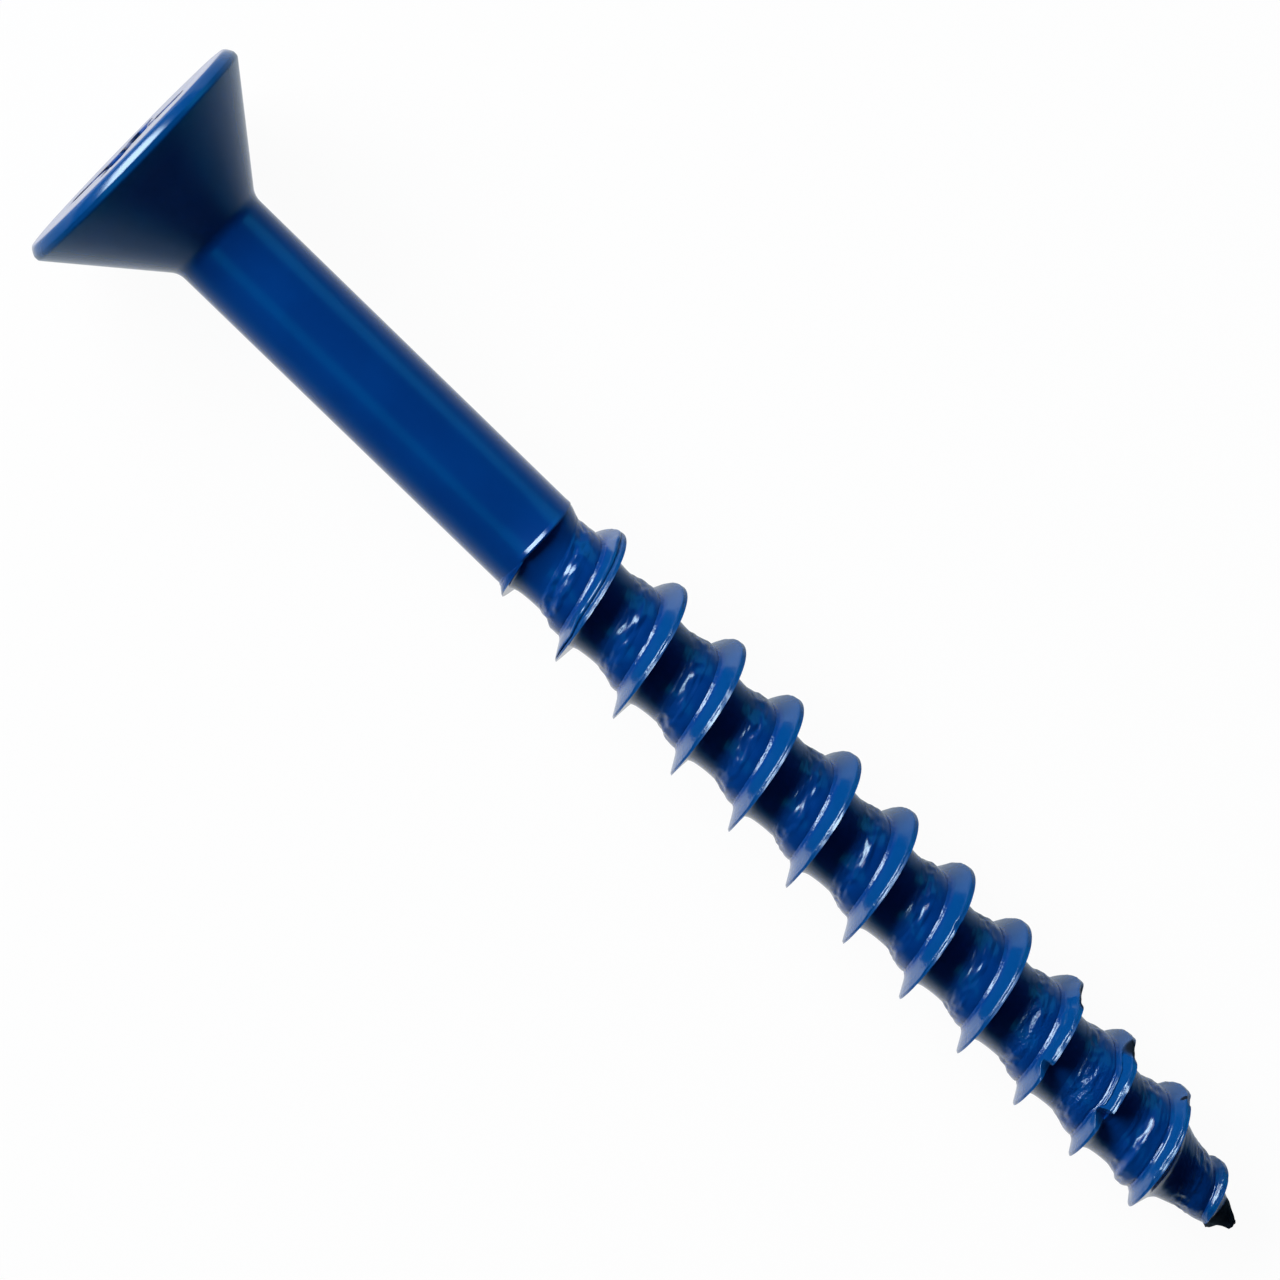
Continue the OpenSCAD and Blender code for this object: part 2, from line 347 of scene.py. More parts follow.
class Thread:
    """The helical fin and its core, as functions of the turn n and the distance z from the head."""

    def __init__(self, s, wear):
        self.s = s
        self.wear = wear
        self.start = s.start_angle / math.tau - 1
        self.pitch_turn = self.start + s.full_pitch_l / s.pitch
        self.point_z = s.screw_l - s.point_l
        self.nose_z = s.screw_l - s.nose_l

    def crest_z(self, n):
        """Place of the crest along the axis."""
        s, wear = self.s, self.wear
        shorter = (s.pitch - s.tip_pitch) * max(0.0, n - self.pitch_turn)
        pushed = wear.drag * window(n, *DRAGGED) + wear.shift * ease((n - self.start) / wear.shift_turns)
        pushed += wear.burr * windows(n, BURRED)
        return s.shank_end + s.pitch * (n - self.start) - shorter + pushed

    def core_r(self, z):
        """Radius of the core, down to the nose."""
        s = self.s
        if z < self.point_z:
            return between(s.shank_d / 2 - s.lip_step, s.root_d / 2, (z - s.shank_end) / s.run_out)
        if z < self.nose_z:
            return between(s.root_d / 2, s.nose_d / 2, (z - self.point_z) / (self.nose_z - self.point_z))
        return between(s.nose_d / 2, s.tip_d / 2, (z - self.nose_z) / s.nose_l)

    def full_crest_r(self, z):
        """Radius of the crests where the fin has its full height."""
        s = self.s
        wide, low = s.crest_d / 2, s.point_crest_d / 2
        if z < self.point_z:
            return between(wide, low, (z - self.point_z + s.crest_run_l) / s.crest_run_l)
        return between(low, s.tip_d / 2, ((z - self.point_z) / s.point_l) ** s.crest_bow)

    def risen(self, n):
        """Share of its height that the fin has gained."""
        s = self.s
        if n < self.start:
            return 0.0
        quick = 1 - math.exp((self.start - n) / s.hook_turns)
        slow = 1 - math.exp((self.start - n) / s.rise_turns)
        return s.hook * quick + (1 - s.hook) * slow

    def flush(self, n):
        """1 where the lip runs along the rising fin, flush with the shank."""
        begun = ease((n - self.start) / 0.06 + 1)
        return begun * (1 - ease((n - self.start) / self.s.lip_turns - 0.4))

    def lip_r(self, n, r):
        """The radius r, filled up to the shank where the lip runs along the fin."""
        return r + (self.s.shank_d / 2 - r) * self.flush(n) * 0.998

    def beaded(self, n):
        """How much of its height the bead along the lip has, most on one side."""
        return 0.12 + 0.88 * window(n, *BEAD_SIDE)

    def filled(self, n, z):
        """Height to which the step behind the lip is filled up, on one side only."""
        side = window((n + 0.5) % 1.0, *FILLED_SIDE)
        return 0.9 * self.s.lip_step * side * ease(1 - (z - self.s.shank_end) / self.s.run_out)

    def point_lean(self, n):
        """Slope of the flank that faces the point, worn down in the last turns."""
        return self.s.point_flank + self.wear.worn_back * window(n, *WORN_BACK)

    def seamed(self, n):
        """1 where the crest is open along a seam, in the first turn."""
        return window(n, *SEAMED)

    def split(self, n):
        """Depth of the split in the flank beside the last nick."""
        nick = MARKS[0][0]
        return self.wear.split_depth * window(n, nick - 0.17, nick - 0.04, 0.06)

    def battered(self, n):
        """1 where the fin is battered, in front of the two nicks."""
        return windows(n, BATTERED)

    def scuffed(self, n):
        """1 where the root is scuffed, in front of the two nicks."""
        return windows(n, SCUFFED)

    def ledged(self, n):
        """1 where a ledge runs in front of the last full fin."""
        return window(n, self.wear.ledge_from, self.wear.ledge_to, LEDGE_END)

    def damage(self, n):
        """Depth of the nicks across the crest, and of the chips that slope down behind it."""
        nick, chip = 0.0, 0.0
        for turn, before, after, nick_share, chip_share in MARKS:
            side = before if n < turn else after
            part = max(0.0, 1 - abs(n - turn) / side)
            nick = max(nick, nick_share * min(1.0, 1.6 * part))
            chip = max(chip, chip_share * ease(1.3 * part))
        return self.wear.nick_depth * nick, self.wear.chip_depth * chip

    def lifted(self, n):
        """How far the crest is pushed up in front of the last full turn."""
        return 0.7 * self.wear.burr * window(n, *LIFTED)

    def chatter(self, n):
        """Unevenness of the crest, stronger towards the point."""
        place = Vector((9 * math.cos(math.tau * n), 9 * math.sin(math.tau * n), 7 * n))
        fine = noise.noise(place * 2.3)
        coarse = noise.noise(place * 0.5)
        rough = 0.5 + 1.6 * ease((n - 7.5) / 1.5)
        return self.wear.chatter * rough * max(0.0, 0.3 + 0.9 * coarse + 0.6 * fine) * self.risen(n)

    def leaning(self, n):
        """Slope of the land, steeper on the side on which the thread has worn."""
        worn = window(n - math.floor(n), *WORN_SIDE)
        swing = self.wear.ragged * (1 + 1.2 * self.battered(n))
        return self.s.land_lean * (0.4 + 0.6 * worn) + swing * self.ragged(n, LAND_DASHES)

    def ragged(self, n, start):
        """Short dashes along the fin, between -1 and 1."""
        place = Vector((8 * math.cos(math.tau * n), 8 * math.sin(math.tau * n), 7 * n + start))
        return max(-1.0, min(1.0, 1.1 * noise.noise(place) + 0.6 * noise.noise(place * 2.3)))

    def folded(self, n, z):
        """Height of the folds that run along the middle of a root."""
        s = self.s
        crest = self.crest_z(n) if z < self.crest_z(n) else self.crest_z(n + 1)
        zone = window((crest - z) / MM, *FOLD_BAND) * ease((z - s.shank_end) / s.run_out)
        place = Vector((4.4 * math.cos(math.tau * n), 4.4 * math.sin(math.tau * n), 3.6 * z / MM))
        return self.wear.fold * zone * noise.noise(place)

    def foot_r(self, n, z):
        """Radius of the core at the foot of the fin."""
        s = self.s
        return self.core_r(z) * (1 + self.risen(n) * s.root_swell / (s.root_d / 2))

    def fin_r(self, n, z):
        """Radius of the crest, as far as the fin has risen."""
        return self.core_r(z) + self.risen(n) * (self.full_crest_r(z) - self.core_r(z))

    def fin_h(self, n):
        """Height of the fin above its foot."""
        z = self.crest_z(n)
        return max(0.0, self.fin_r(n, z) - self.foot_r(n, z))

    def head_foot_z(self, n):
        """Place of the foot of the flank that faces the head."""
        s = self.s
        return self.crest_z(n) - s.land_w / 2 - s.foot_w - self.fin_h(n) * math.tan(s.head_flank)

    def point_foot_z(self, n):
        """Place of the foot of the flank that faces the point."""
        s = self.s
        lean = math.tan(self.point_lean(n))
        return self.crest_z(n) + s.land_w / 2 + s.point_foot_w + self.fin_h(n) * lean

    def before_crest(self, place):
        """Turn of the next crest along the axis, and how far a place lies in front of it."""
        n = math.atan2(place.y, place.x) / math.tau - 2
        while self.crest_z(n) < place.z and n < TURNS:
            n += 1
        return n, self.crest_z(n) - place.z

    def valley(self, n, part):
        """A point of the core between the fin at turn n and the next one."""
        z = between(self.point_foot_z(n), self.head_foot_z(n + 1), part)
        core = self.core_r(z)
        if part <= 0.5:
            swell = 0.7 if z < self.point_z else 0.3
            return z, between(core, self.foot_r(n, z), swell * (2 * part - 1) ** 2)
        rise = ease((2 * part - 1) / 0.74)
        rise += (1 - rise) * self.ledged(n + 1) * ease((part - 0.65) / 0.06)
        return z, self.lip_r(n + 1, between(core, self.foot_r(n + 1, z), rise))

    def land(self, n, chip):
        """Width of the land, wide where the crest is open or chipped and narrow on one side."""
        wear = self.wear
        land = between(self.s.land_w, wear.seam_land_w, max(self.seamed(n), chip / wear.chip_depth))
        return land * (1 - wear.sharp * window(n - math.floor(n), *SHARP_SIDE))

    def foot_corners(self, n, foot, height):
        """The groove and the ramp at the foot of the flank that faces the head."""
        s, wear = self.s, self.wear
        small = min(1.0, height / (0.5 * MM))
        groove = wear.foot_groove * small * (1 - self.flush(n)) * (1 + self.ragged(n, GROOVE_DASHES))
        ramp = s.ramp_w * small
        rise = math.tan(s.ramp_lean + wear.ragged * self.ragged(n, RAMP_DASHES))
        past = ramp * rise / (1 / math.tan(s.head_flank) - rise)
        start = foot[0] - ramp
        corners = [(start - along * MM * small, foot[1] - groove * depth) for along, depth in GROOVE]
        runs = [(ramp + past) * part for part in RAMP]
        return corners + [(start + run, foot[1] + run * rise) for run in runs]

    def flank_corners(self, n, foot, top):
        """The flank that faces the head, with its dents and its split."""
        corners = []
        for part, depth in HEAD_FLANK:
            edge = mix_points(foot, top, part)
            dents = self.wear.batter * self.battered(n) * self.ragged(n, FLANK_DASHES + 25 * part)
            corners.append((edge[0] + dents, edge[1] - self.split(n) * depth))
        return corners

    def land_corners(self, n, front, back, height):
        """The land along the crest, with its seam and its dents."""
        dents = self.wear.dent * max(0.0, self.ragged(n, SEAM_DASHES))
        seam = min(self.wear.seam_depth * self.seamed(n) + dents, 0.5 * height)
        edges = [(mix_points(front, back, part), depth) for part, depth in LAND]
        return [(edge[0], edge[1] - seam * depth) for edge, depth in edges]

    def section(self, n):
        """Outline of one turn, from the middle of the core before the fin to the middle after it."""
        s = self.s
        crest = self.crest_z(n)
        head_foot = self.head_foot_z(n)
        point_foot = self.point_foot_z(n)
        nick, chip = self.damage(n)
        worn = min(nick + self.chatter(n), 0.85 * self.fin_h(n))
        lip = between(self.core_r(crest), s.shank_d / 2 + 0.3 * s.bead_h, self.flush(n))
        top = max(self.fin_r(n, crest) - worn + self.lifted(n), self.foot_r(n, crest), lip)
        foot_a = (head_foot, self.lip_r(n, self.foot_r(n, head_foot)))
        foot_b = (point_foot, self.foot_r(n, point_foot))
        height = max(0.0, top - foot_a[1])
        land = self.land(n, chip)
        drop = min(land * math.tan(self.leaning(n)), 0.4 * height)
        back = crest + s.land_w / 2
        top_a = (back - land - worn * math.tan(s.head_flank), top - drop)
        top_b = (back + worn * math.tan(self.point_lean(n)), top - min(chip, 0.9 * self.fin_h(n)))
        corners = [self.valley(n - 1, part) for part in ROOT_BEFORE]
        corners += self.foot_corners(n, foot_a, height)
        corners += self.flank_corners(n, foot_a, top_a)
        corners += self.land_corners(n, top_a, top_b, height)
        corners += [mix_points(top_b, foot_b, part) for part in POINT_FLANK]
        corners += [self.valley(n, part) for part in ROOT_AFTER]
        return [(z, r + self.folded(n, z) + self.filled(n, z)) for z, r in rounded(corners)]


def mix_points(a, b, part):
    """The point a part of the way from a to b."""
    return tuple(p + (q - p) * part for p, q in zip(a, b))


def rounded(points):
    """The outline with each corner cut once, its two ends kept."""
    cut = [points[0]]
    for a, b in zip(points, points[1:]):
        cut += [mix_points(a, b, 0.25), mix_points(a, b, 0.75)]
    return cut + [points[-1]]


def chain(bm, points):
    """Vertices in a row, joined by edges."""
    verts = [bm.verts.new(point) for point in points]
    edges = [bm.edges.new(pair) for pair in zip(verts, verts[1:])]
    return verts + edges


def blank_outline(s):
    """Radius and depth along the head and shank, from the flat of the top to the lip."""
    head_r, shank_r = s.head_d / 2, s.shank_d / 2
    half = s.countersink / 2
    top_mid = head_r - s.rim_top_r
    low_mid = head_r - s.rim_low_r
    low_z = s.rim_h - s.rim_low_r
    cone_start = (low_mid + s.rim_low_r * math.cos(half), low_z + s.rim_low_r * math.sin(half))
    neck_mid = shank_r + s.neck_r
    neck_z = cone_start[1] + (s.neck_r - (neck_mid - cone_start[0]) * math.cos(half)) / math.sin(half)
    neck_start = (neck_mid - s.neck_r * math.cos(half), neck_z - s.neck_r * math.sin(half))
    points = [((s.recess_d / 2 + top_mid) / 2, 0.0)]
    edge = [(top_mid, 0.0), (head_r - 0.49 * s.rim_top_r, 0.067 * s.rim_top_r), (head_r, 0.9 * s.rim_top_r)]
    points += rounded(rounded(rounded(edge + [(head_r, 1.1 * s.rim_top_r)])))
    points += arc((low_mid, low_z), s.rim_low_r, 0.0, half)
    points += [mix_points(cone_start, neck_start, i / 6) for i in range(1, 6)]
    points += arc((neck_mid, neck_z), s.neck_r, math.pi + half, math.pi)
    bead_z = s.shank_end - s.lip_r
    points += [(shank_r, between(neck_z, bead_z - s.bead_w, i / 12)) for i in range(1, 12)]
    for i in range(ARC_STEPS):
        part = i / ARC_STEPS
        points.append((shank_r + s.bead_h * part, bead_z - s.bead_w * (1 - part)))
    return points + arc((shank_r + s.bead_h - s.lip_r, bead_z), s.lip_r, 0.0, math.pi / 2)


def arc(mid, r, first, last):
    """Points of an arc, as pairs of radius and depth."""
    angles = [first + (last - first) * i / ARC_STEPS for i in range(ARC_STEPS + 1)]
    return [(mid[0] + r * math.cos(a), mid[1] + r * math.sin(a)) for a in angles]


def spin_blank(bm, s, thread):
    """Head and shank as one turned skin, open at the recess and at the lip."""
    outline = chain(bm, [(r, 0, z) for r, z in blank_outline(s)])
    bmesh.ops.spin(
        bm, geom=outline, cent=(0, 0, 0), axis=(0, 0, 1), angle=math.tau,
        steps=RING_STEPS, use_merge=True, use_duplicate=False,
    )
    shank_r = s.shank_d / 2
    for vert in bm.verts:
        across = math.hypot(vert.co.x, vert.co.y)
        if vert.co.z > s.shank_end - s.lip_r - s.bead_w:
            turn = math.atan2(vert.co.y, vert.co.x) % math.tau / math.tau - 1
            proud = (across - shank_r) * (thread.beaded(turn) if across > shank_r else 1.0)
            vert.co.xy *= (shank_r + proud * (1 - thread.flush(turn))) / across
    uv = bm.loops.layers.uv.new("skin")
    for face in bm.faces:
        middle = face.calc_center_median()
        for loop in face.loops:
            turn = math.atan2(loop.vert.co.y, loop.vert.co.x)
            base = math.atan2(middle.y, middle.x)
            turn = base + (turn - base + math.pi) % math.tau - math.pi
            loop[uv].uv = (turn * shank_r / MM, loop.vert.co.z / MM)


def cross_outline(s, grow, depth):
    """Outline of the cross recess at a depth, moved outwards by grow."""
    part = depth / s.recess_depth
    half = s.wing_w / 2 + grow
    tip = between(s.recess_d, s.recess_floor_d, part) / 2 + grow
    core = max(between(s.recess_core_d, s.wing_w, part) / 2 + grow, 1.55 * half)
    tip_a = math.asin(half / tip)
    core_a = math.asin(half / core)
    per_quarter = RING_STEPS // 4
    arc = per_quarter // 3
    side = (per_quarter - 2 * arc) // 2
    points = []
    for quarter in range(4):
        turn = s.recess_turn + quarter * math.pi / 2
        tip_end = polar(tip, tip_a)
        core_start = polar(core, core_a)
        core_end = polar(core, math.pi / 2 - core_a)
        next_tip = polar(tip, math.pi / 2 - tip_a)
        ring = [polar(tip, between(-tip_a, tip_a, i / (arc - 1))) for i in range(arc - 1)]
        ring += [mix_points(tip_end, core_start, i / side) for i in range(side)]
        ring += [polar(core, between(core_a, math.pi / 2 - core_a, i / arc)) for i in range(arc)]
        ring += [mix_points(core_end, next_tip, i / (side + 1)) for i in range(side + 1)]
        points += [Matrix.Rotation(turn, 2) @ Vector(p) for p in ring]
    return points


def polar(r, a):
    """A point at radius r and angle a."""
    return r * math.cos(a), r * math.sin(a)


def sink_recess(bm, s):
    """Cross recess: its rounded mouth, sloping walls and bottom cone, ring by ring."""
    levels = []
    for i in range(4):
        a = math.pi / 2 * i / 3
        levels.append((s.recess_edge_r * (1 - math.sin(a)), s.recess_edge_r * (1 - math.cos(a))))
    for i in range(1, 7):
        levels.append((0.0, between(s.recess_edge_r, s.recess_depth, i / 6)))
    ring = bmesh.ops.create_circle(bm, cap_ends=False, radius=s.recess_d, segments=RING_STEPS)["verts"]
    edges = list({edge for vert in ring for edge in vert.link_edges})
    for step, (grow, depth) in enumerate(levels):
        if step:
            made = bmesh.ops.extrude_edge_only(bm, edges=edges)["geom"]
            edges = [item for item in made if isinstance(item, bmesh.types.BMEdge) and item.is_boundary]
        for vert, point in zip(walk(edges), cross_outline(s, grow, depth)):
            vert.co = (point.x, point.y, depth)
    floor = bmesh.ops.extrude_edge_only(bm, edges=edges)["geom"]
    middle = [item for item in floor if isinstance(item, bmesh.types.BMVert)]
    bmesh.ops.pointmerge(bm, verts=middle, merge_co=(0, 0, s.recess_depth + s.recess_point_h))


def walk(edges):
    """The vertices of a closed loop of edges in order, from the one at the smallest angle on."""
    verts = {vert for edge in edges for vert in edge.verts}
    return sorted(verts, key=lambda vert: math.atan2(vert.co.y, vert.co.x) % math.tau)


def spin_thread(s, thread):
    """The fin and core as one helical skin, cut square at the lip and at the blunt end."""
    rows = len(thread.section(0.0))
    bm = bmesh.new()
    row_mark = chain(bm, [(1, 0, row) for row in range(rows)])
    bmesh.ops.spin(
        bm, geom=row_mark, cent=(0, 0, 0), axis=(0, 0, 1), dvec=(0, 0, rows),
        angle=math.tau, steps=TURN_STEPS, use_merge=False, use_duplicate=False,
    )
    one_turn = bm.verts[:] + bm.edges[:] + bm.faces[:]
    for turn in range(1, TURNS):
        copy = bmesh.ops.duplicate(bm, geom=one_turn)["geom"]
        verts = [item for item in copy if isinstance(item, bmesh.types.BMVert)]
        bmesh.ops.translate(bm, verts=verts, vec=(0, 0, rows * (TURN_STEPS + 1) * turn))
    sections = {}
    unrolled = {}
    for vert in bm.verts:
        place, row = divmod(round(vert.co.z), rows)
        turn, column = divmod(place, TURN_STEPS + 1)
        n = FIRST_TURN + turn + column / TURN_STEPS
        if n not in sections:
            sections[n] = thread.section(n)
        z, r = sections[n][row]
        vert.co = (r * math.cos(math.tau * n), r * math.sin(math.tau * n), z)
        unrolled[vert] = (math.tau * n * s.shank_d / 2 / MM, (z - thread.crest_z(n)) / MM)
    uv = bm.loops.layers.uv.new("skin")
    for face in bm.faces:
        for loop in face.loops:
            loop[uv].uv = unrolled[loop.vert]
    bmesh.ops.remove_doubles(bm, verts=bm.verts, dist=MERGE_GAP)
    for z, keep_above in ((s.shank_end, True), (s.screw_l, False)):
        bmesh.ops.bisect_plane(
            bm, geom=bm.verts[:] + bm.edges[:] + bm.faces[:], dist=CUT_GAP,
            plane_co=(0, 0, z), plane_no=(0, 0, 1), clear_inner=keep_above, clear_outer=not keep_above,
        )
    mesh = bpy.data.meshes.new("thread")
    bm.to_mesh(mesh)
    bm.free()
    return mesh


def open_edges(bm, z):
    """Edges of the open rims that lie at a distance z from the top of the head."""
    return [
        edge for edge in bm.edges
        if edge.is_boundary and all(abs(vert.co.z - z) < RIM_GAP for vert in edge.verts)
    ]


def screw_mesh(s, wear):
    """The whole screw as one closed skin, still upright along its own axis."""
    thread = Thread(s, wear)
    bm = bmesh.new()
    spin_blank(bm, s, thread)
    sink_recess(bm, s)
    bmesh.ops.bridge_loops(bm, edges=open_edges(bm, 0.0))
    helix = spin_thread(s, thread)
    bm.from_mesh(helix)
    bpy.data.meshes.remove(helix)
    bmesh.ops.bridge_loops(bm, edges=open_edges(bm, s.shank_end))
    bmesh.ops.contextual_create(bm, geom=open_edges(bm, s.screw_l))
    bmesh.ops.recalc_face_normals(bm, faces=bm.faces)
    mark_zones(bm, thread)
    roughen_nose(bm, wear.nose_rough)
    for vert in bm.verts:
        past = max(0.0, vert.co.z - wear.bend_from)
        vert.co.x -= wear.bend * past / (s.screw_l - wear.bend_from)
    return bm


def mark_zones(bm, thread):
    """Marks where a lighter blue is painted on the lit fin tops and rim, where the coating is wrinkled or
    grained, and where the nose is bare.
    """
    s = thread.s
    painted_lit_tint = bm.verts.layers.float.new("painted_lit_tint")
    wrinkled = bm.verts.layers.float.new("wrinkled")
    nose = bm.verts.layers.float.new("nose")
    grained = bm.verts.layers.float.new("grained")
    for vert in bm.verts:
        z = vert.co.z
        across = math.hypot(vert.co.x, vert.co.y)
        if z > s.shank_end:
            core = thread.core_r(z)
            up = (across - core) / max(thread.full_crest_r(z) - core, 0.1 * MM)
            # Painted highlight: the outer part of each fin, lit by the key lamp, gets the lighter painted
            # blue.
            vert[painted_lit_tint] = ease((up - 0.25) / 0.2)
            turn, before = thread.before_crest(vert.co)
            before /= MM
            folds = window(before, *WRINKLE_BAND)
            vert[wrinkled] = max(folds, 0.4 * ease((z - thread.point_z + 7 * MM) / (5 * MM)))
            land = window(before, *LAND_BAND)
            foot = window(before, *FOOT_BAND)
            scuffs = thread.scuffed(turn) * window(before, *SCUFF_BAND)
            vert[grained] = max(land, foot, 1.8 * scuffs)
        else:
            # Painted highlight: the rim, lit by the key lamp, gets the lighter painted blue.
            vert[painted_lit_tint] = ease((across - s.head_d / 2 + s.rim_top_r) / s.rim_low_r) * (z < s.rim_h)
        vert[nose] = ease((z - thread.nose_z + 0.2 * MM) / (0.3 * MM))


def roughen_nose(bm, depth):
    """Makes the bare nose uneven, by a share of its radius."""
    nose = bm.verts.layers.float["nose"]
    for vert in bm.verts:
        if vert[nose] > 0:
            vert.co.xy *= 1 + depth * vert[nose] * noise.noise(vert.co * NOSE_SCALE)


class ScrewPiece(bpy.types.Operator):
    """Model the screw and give it its coating"""

    bl_idname = "mesh.concrete_screw_add"
    bl_label = "Concrete screw"

    def execute(self, context):
        sizes = context.scene.screw_sizes
        bm = screw_mesh(sizes, context.scene.screw_wear)
        open_left = sum(edge.is_boundary for edge in bm.edges)
        if open_left:
            raise RuntimeError(f"the skin of the screw has {open_left} open edges")
        place = Matrix((SIDE, NEAR, AXIS)).transposed().to_4x4()
        place.translation = HEAD_TOP
        bmesh.ops.transform(bm, matrix=place, verts=bm.verts)
        mesh = bpy.data.meshes.new("screw_skin")
        bm.to_mesh(mesh)
        bm.free()
        mesh.shade_smooth()
        mesh.set_sharp_from_angle(angle=math.radians(60))
        piece = bpy.data.objects.new("screw_skin", mesh)
        context.scene.collection.objects.link(piece)
        mesh.materials.append(coating(context.scene.coating_look, sizes.shank_d / 2))
        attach(piece, BODY)
        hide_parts(NODE)
        return {"FINISHED"}


class Field:
    """One socket of a material, so that shader maths reads as an expression."""

    def __init__(self, nodes, socket):
        self.nodes = nodes
        self.socket = socket

    def maths(self, operation, *terms):
        return self.nodes.node("ShaderNodeMath", {"operation": operation}, dict(enumerate(terms)))

    def __add__(self, other):
        return self.maths("ADD", self, other)

    def __sub__(self, other):
        return self.maths("SUBTRACT", self, other)

    def __mul__(self, other):
        return self.maths("MULTIPLY", self, other)

    def __truediv__(self, other):
        return self.maths("DIVIDE", self, other)

    def __rsub__(self, other):
        return self.maths("SUBTRACT", other, self)

    def __rtruediv__(self, other):
        return self.maths("DIVIDE", other, self)

    __radd__ = __add__
    __rmul__ = __mul__


class Nodes:
    """A node tree to which nodes are added one at a time."""

    def __init__(self, owner):
        owner.use_nodes = True
        self.tree = owner.node_tree
        self.tree.nodes.clear()

    def node(self, kind, settings=None, sockets=None, output=0):
        """Adds a node: its settings first, then the values or links of its sockets."""
        made = self.tree.nodes.new(kind)
        for name, value in (settings or {}).items():
            setattr(made, name, value)
        for name, value in (sockets or {}).items():
            if isinstance(value, Field):
                self.tree.links.new(value.socket, made.inputs[name])
            else:
                made.inputs[name].default_value = value
        return Field(self, made.outputs[output]) if made.outputs else made

    def noise(self, place, scale, detail=2.0):
        """Soft noise between 0 and 1."""
        return self.node("ShaderNodeTexNoise", None, {"Vector": place, "Scale": scale, "Detail": detail})

    def vector(self, operation, *terms, output=0):
        """A step of vector maths."""
        return self.node("ShaderNodeVectorMath", {"operation": operation}, dict(enumerate(terms)), output)

    def mix(self, factor, first, second):
        """A mix of two colours."""
        return self.node("ShaderNodeMix", {"data_type": "RGBA"}, {0: factor, 6: first, 7: second}, output=2)

    def step(self, value, low, high):
        """A smooth step from 0 at low to 1 at high."""
        return self.node(
            "ShaderNodeMapRange", {"interpolation_type": "SMOOTHSTEP"},
            {"Value": value, "From Min": low, "From Max": high},
        )


def opaque(shade):
    """A colour with full alpha."""
    return (*shade, 1.0)


def coating(look, shank_r):
    """Glossy blue coating: dimpled, wrinkled in the roots, painted lighter blue on the lit fin tops and rim,
    darkened in spots along the crest and worn off at the nose.
    """
    material = bpy.data.materials.new(SLOT)
    nodes = Nodes(material)
    place = nodes.node("ShaderNodeTexCoord", output="Object")
    skin = nodes.node("ShaderNodeUVMap", {"uv_map": "skin"})
    painted_lit_tint, wrinkled, worn, grained = [
        nodes.node("ShaderNodeAttribute", {"attribute_name": zone}, output="Fac")
        for zone in ("painted_lit_tint", "wrinkled", "nose", "grained")
    ]
    cloud = nodes.noise(place, CLOUD_SCALE, 3.0)
    unrolled = nodes.node("ShaderNodeSeparateXYZ", None, {"Vector": skin}, output="X")
    turned = unrolled / (math.tau * shank_r / MM)
    level = nodes.node("ShaderNodeSeparateXYZ", None, {"Vector": skin}, output="Y")
    # Dark spots along the crest, added to the bare nose so that they take the dark steel colour.
    for turn, half_turns, middle, half_width in SPOTS:
        across = (turned - turn) / half_turns
        up = (level - middle) / half_width
        worn = worn + nodes.step(across * across + up * up, 1.8, 0.2) * 0.5
    bare = nodes.step(worn + cloud * 0.6, 0.55, 0.85)
    tint = nodes.mix(nodes.step(cloud, 0.35, 0.65), opaque(look.blue), opaque(look.deep_blue))
    # Painted highlight: the lighter blue where the fin tops and rim are lit.
    tint = nodes.mix(painted_lit_tint, tint, opaque(look.painted_lit_blue))
    tint = nodes.mix(bare, tint, opaque(look.dark_steel))
    peel = nodes.noise(place, PEEL_SCALE) + nodes.noise(place, FINE_PEEL_SCALE) * 0.35
    dimples = peel * (look.peel / MM) + nodes.noise(place, GRAIN_SCALE) * grained * (look.grain / MM)
    folds = nodes.noise(nodes.vector("MULTIPLY", skin, (0.8, 2.6, 1.0)), 1.0, 1.0)
    pits = nodes.noise(place, PIT_SCALE) * bare * (look.pits / MM)
    height = dimples + folds * wrinkled * (look.wrinkle / MM) + pits
    bump = nodes.node("ShaderNodeBump", None, {"Strength": 1.0, "Distance": MM, "Height": height})
    mirrored = nodes.node("ShaderNodeLightPath", output="Is Glossy Ray")
    rough = nodes.noise(place, HAZE_SCALE) * look.haze + (look.roughness - look.haze / 2)
    rough = rough + bare * look.bare_rough + mirrored * look.matt
    surface = nodes.node(
        "ShaderNodeBsdfPrincipled", None,
        {
            "Base Color": tint, "Roughness": rough, "Normal": bump, "Metallic": bare * look.bare_metal,
            "Specular Tint": opaque(look.sheen), "Specular IOR Level": look.specular,
            "Coat Weight": (look.coat - bare * look.coat) * (1.0 - mirrored), "Coat Roughness": look.gloss,
        },
    )
    nodes.node("ShaderNodeOutputMaterial", None, {"Surface": surface})
    return material


class ScrewStage(bpy.types.Operator):
    """Lay the floor and set the lights and the camera"""

    bl_idname = "scene.concrete_screw_stage"
    bl_label = "Stage"

    def execute(self, context):
        look = context.scene.stage_look
        lay_floor(context.scene, look)
        set_lights(context.scene)
        set_camera(context.scene, look)
        context.scene.view_settings.view_transform = "Standard"
        return {"FINISHED"}


